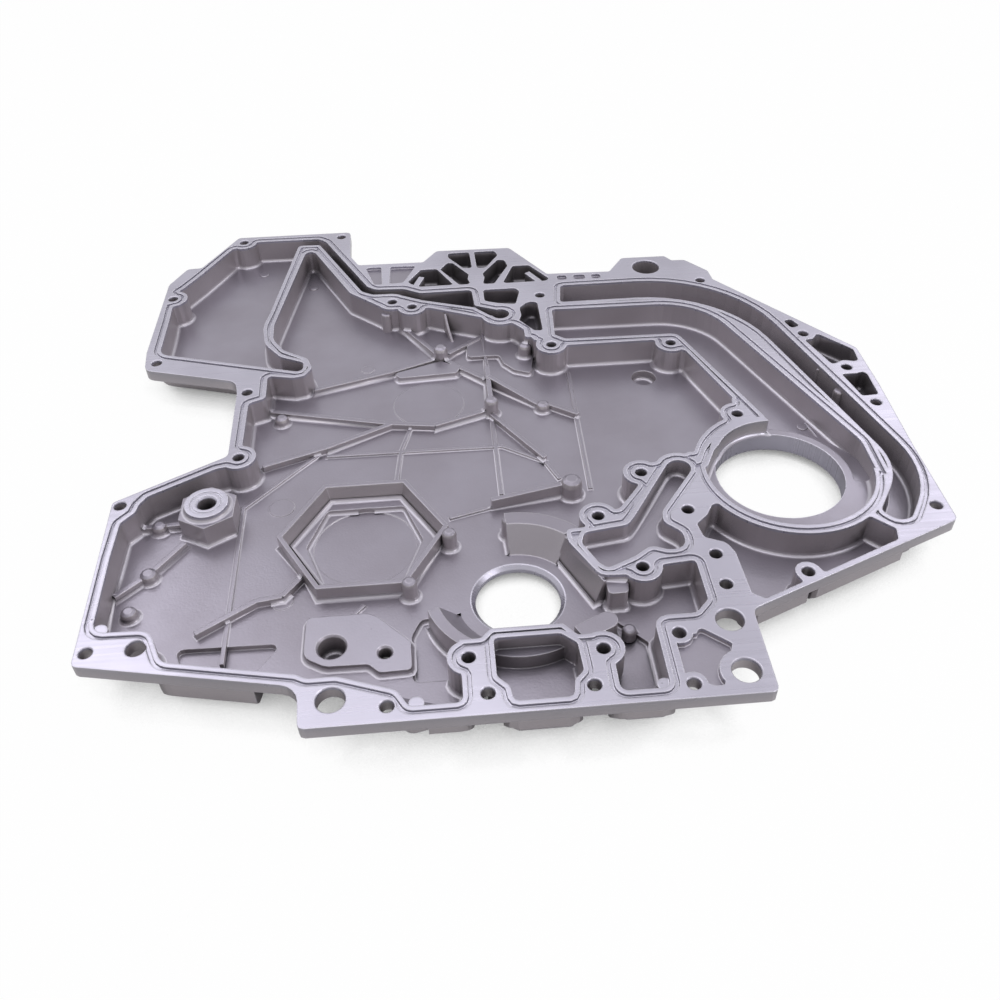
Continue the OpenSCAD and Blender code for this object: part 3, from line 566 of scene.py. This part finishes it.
# The roundings carry a painted highlight: a quarter share everywhere, and more at their edges.
feet.data.materials.append(cover_metal("cast roundings", 0.4 * MM, wear_and_highlight_share=0.5, least_highlight=0.25))
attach(feet, "root")
print("roundings:", len(quads) * 2, "triangles")

# %% [markdown]
# ## Small cast forms
#
# A few forms are too small to matter in the solid, but they catch the light: a
# half-round pillar under a bolt ear, a curved web against the top wall, two swells
# on the wall of the outer channel, two low ridges, the round marks of the mould's
# pins, and the ramp on which the inner channel climbs to the pump's ring. Boxes with
# a bevel modifier could make them. Four short formulas, for a column, a web, a ridge
# and a ramp, keep their rounded rims exact with few points.

# %% Columns and webs
def column(x, y, radius, low, high, soft):
    """A round column in mm. At turn a, a profile point (r, z) is (x + r cos a, y + r sin a, z). The
    profile climbs the side, follows a quarter circle of radius soft and closes at the axis."""
    turn = np.linspace(0, 2 * np.pi, 41)[:, None]
    bend = np.linspace(0, np.pi / 2, 6)
    r = np.concatenate([[radius], radius - soft + soft * np.cos(bend), [0.01]])
    z = np.concatenate([[low], high - soft + soft * np.sin(bend), [high]])
    return np.stack([x + r * np.cos(turn), y + r * np.sin(turn), z + 0 * turn], axis=2)


def web(top, middle, toe, root, half):
    """A thin web in mm from a wall to a curved front edge F = (1-t)^2 top + 2t(1-t) middle + t^2 toe.
    With u the level way from the root line on the wall to F, n the level way across and w half the
    thickness, each section is root + n w, F + w (u cos a + n sin a) for a from 90 to -90 degrees, and
    root - n w."""
    t = np.linspace(0, 1, 17)[:, None]
    front = (1 - t) ** 2 * np.array(top) + 2 * t * (1 - t) * np.array(middle) + t ** 2 * np.array(toe)
    foot = np.concatenate([np.repeat([root], len(t), axis=0), front[:, 2:]], axis=1)
    ahead = front - foot
    ahead /= np.linalg.norm(ahead, axis=1)[:, None]
    side = np.stack([-ahead[:, 1], ahead[:, 0], 0 * ahead[:, 0]], axis=1)[:, None]
    a = np.linspace(np.pi / 2, -np.pi / 2, 9)[None, :, None]
    nose = front[:, None] + half * (ahead[:, None] * np.cos(a) + side * np.sin(a))
    return np.concatenate([foot[:, None] + half * side, nose, foot[:, None] - half * side], axis=1)


# %% Ridges and a ramp
def ridge(start, end, half, sharp=1.0):
    """A low ridge in mm: start + t (end - start) + half (n cos a + sharp z sin a), a from 0 to 180
    degrees, which thins out to a tenth at its end."""
    start, end = np.array(start, float), np.array(end, float)
    t = np.linspace(0, 1, 13)[:, None, None]
    a = np.linspace(0, np.pi, 13)[None, :, None]
    run = (end - start) / np.linalg.norm(end - start)
    side = np.array([-run[1], run[0], 0])
    thin = half * (1 - 0.9 * t ** 3)
    return start + t * (end - start) + thin * (side * np.cos(a) + sharp * UP * np.sin(a))


def ramp(centre, inner, outer, turn, low, high):
    """A ramp round a vertical axis in mm. With s from 0 to 1, the turn a and the outer radius go from
    their first value to their second, and the height is z = high + (low - high) s^2 (3 - 2 s). With k
    from 0 to 1 across, a point is (x + r cos a, y + r sin a, z), where r = inner + k (outer - inner)."""
    s, k = np.linspace(0, 1, 33)[:, None], np.linspace(0, 1, 9)[None]
    a = np.radians(turn[0] + (turn[1] - turn[0]) * s)
    r = inner + k * (outer[0] + (outer[1] - outer[0]) * s - inner)
    z = high + (low - high) * s ** 2 * (3 - 2 * s) + 0 * k
    return np.stack([centre[0] + r * np.cos(a), centre[1] + r * np.sin(a), z], axis=2)


# %% Set the small forms on the cover
def mesh_of(name, grids):
    """One mesh object from grids of points in mm, merged where they meet, so seams and poles close."""
    corners, quads, before = [], [], 0
    for grid in grids:
        rows, columns = grid.shape[:2]
        first = before + np.arange(rows - 1)[:, None] * columns + np.arange(columns - 1)
        around = np.stack([first, first + columns, first + columns + 1, first + 1], axis=2)
        quads.append(around.reshape(-1, 4))
        corners.append(grid.reshape(-1, 3) * MM)
        before += rows * columns
    made = sheet_of(name, np.concatenate(corners), np.concatenate(quads))
    shell = bmesh.new()
    shell.from_mesh(made.data)
    bmesh.ops.remove_doubles(shell, verts=shell.verts, dist=0.02 * MM)
    shell.to_mesh(made.data)
    shell.free()
    return made


FLOOR, PUMP_FLOOR, PUMP_LEDGE = 14.0, 15.0, 24.0
# Low end, high end and soft rim of the pin marks on each floor
FLOOR_MARK, PUMP_MARK = (FLOOR - 0.2, FLOOR + 0.8, 0.4), (PUMP_FLOOR - 0.2, PUMP_FLOOR + 0.9, 0.6)
PUMP_AXIS = (PUMP_X / MM, PUMP_Y / MM)
grids = [
    column(-94.5, 361.5, 5.0, FLOOR, 33, soft=2.0),
    column(295.4, 193.3, 5.2, FLOOR, 33, soft=2.5),
    column(286.6, 224.2, 1.8, FLOOR, 34, soft=1.0),
    column(-226.4, 484.4, 4.8, *FLOOR_MARK),
    column(-172.1, 450.2, 4.6, *FLOOR_MARK),
    column(257.5, 168.0, 4.5, *PUMP_MARK),
    web((-37.7, 352, 35), (-36, 342, 23.5), (-32.2, 334, 13.8), root=(-38.6, 354.6), half=1.3),
    ridge((-3.2, 338, 18.5), (-3.5, 285, 15.8), half=1.6, sharp=1.2),
    ridge((261.5, 172, PUMP_FLOOR), (266, 153, PUMP_FLOOR), half=1.7),
    ramp(PUMP_AXIS, inner=56.5, outer=(70.5, 80), turn=(-13.5, 42),
         low=PUMP_FLOOR - 0.05, high=PUMP_LEDGE),
]
small = mesh_of("small_forms", grids)
small.data.polygons.foreach_set("use_smooth", np.ones(len(small.data.polygons), bool))
small.data.materials.append(metal)
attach(small, "root")
print("small forms:", len(grids), "with", 2 * len(small.data.polygons), "triangles")

# %% [markdown]
# ## The sloped front edge of the floor
#
# Beside the left sump corner the floor does not run level to the front wall: it
# turns up at 45 degrees, so that the outer edge below the flange is bevelled. The
# solid has that bevel on its outer side only, and lies open where bevel and chamber
# meet. A box with a cut corner could close it. A section carried along the bevel's
# line follows its bend and gives an even skin.

# %% Sloped edge
BEVEL_PEAK, SKIN_RISE, SUNK = 26.0, 6.0, 0.3
AT_WALL, AT_END, AT_FLOOR, OUTER_SHORT, ACROSS = 2.6, -5.0, 19.0, 3.0, 9
BEVEL_LINE = [(-176.9, -71.5), (-159, -75.3), (-140, -79.3), (-127, -82), (-110, -87.7),
              (-88, -95.1), (-80, -97.8), (-63.6, -103.3)]


def sloped_skin(path, nearest):
    """A skin in mm along a level path, with n the way in at each point p. A section point at d from the
    path is p + d n + z, with z = peak + sunk - |d| on the outer face and z = peak + rise - |d| on the
    inner face, from d = nearest at the wall to the floor. Both end rows shrink to a point."""
    path, nearest = np.array(path, float), np.array(nearest, float)[:, None]
    run = np.gradient(path, axis=0)
    run /= np.linalg.norm(run, axis=1)[:, None]
    way = np.stack([-run[:, 1], run[:, 0]], axis=1)[:, None]
    inner = nearest + (AT_FLOOR - nearest) * np.linspace(0, 1, ACROSS)
    outer = nearest + (AT_FLOOR - OUTER_SHORT - nearest) * np.linspace(1, 0, ACROSS)
    d = np.concatenate([inner, outer, inner[:, :1]], axis=1)
    rise = np.concatenate([np.full(ACROSS, SKIN_RISE), np.full(ACROSS, SUNK), [SKIN_RISE]])
    flat = path[:, None] + d[:, :, None] * way
    rows = np.concatenate([flat, (BEVEL_PEAK + rise - np.abs(d))[:, :, None]], axis=2)
    middles = rows[[0, -1], :-1].mean(axis=1)
    caps = np.repeat(middles[:, None], rows.shape[1], axis=1)
    return np.concatenate([caps[:1], rows, caps[1:]])


nearest = [AT_WALL] * (len(BEVEL_LINE) - 2) + [AT_END] * 2
edge_skin = mesh_of("sloped_edge", [sloped_skin(BEVEL_LINE, nearest)])
edge_skin.data.materials.append(metal)
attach(edge_skin, "root")
print("sloped edge:", 2 * len(edge_skin.data.polygons), "triangles")
